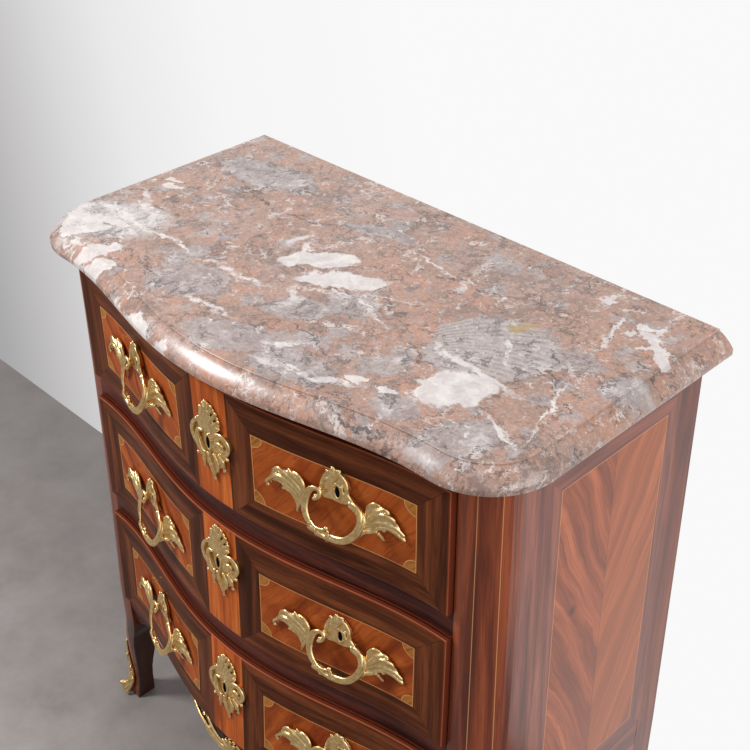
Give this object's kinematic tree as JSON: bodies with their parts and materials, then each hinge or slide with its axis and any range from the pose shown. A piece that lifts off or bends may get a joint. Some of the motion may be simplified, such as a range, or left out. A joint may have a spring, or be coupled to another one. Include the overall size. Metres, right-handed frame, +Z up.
{
  "type": "commode chest",
  "caption": "Bow-fronted chest of drawers with moulded marble top, inlaid veneer panels, gilt bronze handles, escutcheons and feet mounts, on short curved legs.",
  "frame": {"origin": "centre of the footprint of the whole part, on the floor", "axes": "+Z up, front faces -Y, +X to the right seen from the front"},
  "size_m": [0.8, 0.4372, 0.864],
  "materials": {
    "marble": "polished, mottled red and grey marble",
    "veneer": "dark purplish-brown veneer, French polished",
    "drawer_veneer": "banded and inlaid veneer, French polished",
    "oak": "plain sawn and planed boards",
    "gilt_bronze": "chased and gilded cast bronze",
    "lock_steel": "dark filed steel"
  },
  "bodies": {
    "case": {"marble_top": "marble", "left_front_post": "veneer", "right_front_post": "veneer", "left_rear_post": "veneer", "right_rear_post": "veneer", "left_side_board": "veneer", "right_side_board": "veneer", "top_front_rail": "veneer", "upper_divider_rail": "veneer", "lower_divider_rail": "veneer", "front_apron": "veneer", "upper_dust_board": "oak", "lower_dust_board": "oak", "bottom_board": "oak", "top_rear_rail": "oak", "bottom_rear_rail": "oak", "back_board": "oak", "top_middle_batten": "oak", "upper_left_runner": "oak", "upper_right_runner": "oak", "middle_left_runner": "oak", "middle_right_runner": "oak", "lower_left_runner": "oak", "lower_right_runner": "oak", "apron_mount": "gilt_bronze", "left_shoe": "gilt_bronze", "right_shoe": "gilt_bronze"},
    "upper_drawer": {"upper_drawer_front": "drawer_veneer", "upper_drawer_left_side": "oak", "upper_drawer_right_side": "oak", "upper_drawer_bottom": "oak", "upper_drawer_back": "oak", "upper_drawer_lock_case": "lock_steel", "upper_drawer_escutcheon": "gilt_bronze", "upper_drawer_left_handle": "gilt_bronze", "upper_drawer_right_handle": "gilt_bronze"},
    "upper_bolt": {"upper_drawer_lock_bolt": "lock_steel"},
    "middle_drawer": {"middle_drawer_front": "drawer_veneer", "middle_drawer_left_side": "oak", "middle_drawer_right_side": "oak", "middle_drawer_bottom": "oak", "middle_drawer_back": "oak", "middle_drawer_lock_case": "lock_steel", "middle_drawer_escutcheon": "gilt_bronze", "middle_drawer_left_handle": "gilt_bronze", "middle_drawer_right_handle": "gilt_bronze"},
    "middle_bolt": {"middle_drawer_lock_bolt": "lock_steel"},
    "lower_drawer": {"lower_drawer_front": "drawer_veneer", "lower_drawer_left_side": "oak", "lower_drawer_right_side": "oak", "lower_drawer_bottom": "oak", "lower_drawer_back": "oak", "lower_drawer_lock_case": "lock_steel", "lower_drawer_escutcheon": "gilt_bronze", "lower_drawer_left_handle": "gilt_bronze", "lower_drawer_right_handle": "gilt_bronze"},
    "lower_bolt": {"lower_drawer_lock_bolt": "lock_steel"}
  },
  "joints": [
    {"name": "upper_drawer_slide", "type": "slide", "parent": "case", "child": "upper_drawer", "axis": [0, -1, 0], "range_m": [0, 0.28]},
    {"name": "upper_bolt_slide", "type": "slide", "parent": "upper_drawer", "child": "upper_bolt", "axis": [0, 0, 1], "range_m": [0, 0.008]},
    {"name": "middle_drawer_slide", "type": "slide", "parent": "case", "child": "middle_drawer", "axis": [0, -1, 0], "range_m": [0, 0.28]},
    {"name": "middle_bolt_slide", "type": "slide", "parent": "middle_drawer", "child": "middle_bolt", "axis": [0, 0, 1], "range_m": [0, 0.008]},
    {"name": "lower_drawer_slide", "type": "slide", "parent": "case", "child": "lower_drawer", "axis": [0, -1, 0], "range_m": [0, 0.28]},
    {"name": "lower_bolt_slide", "type": "slide", "parent": "lower_drawer", "child": "lower_bolt", "axis": [0, 0, 1], "range_m": [0, 0.008]}
  ]
}
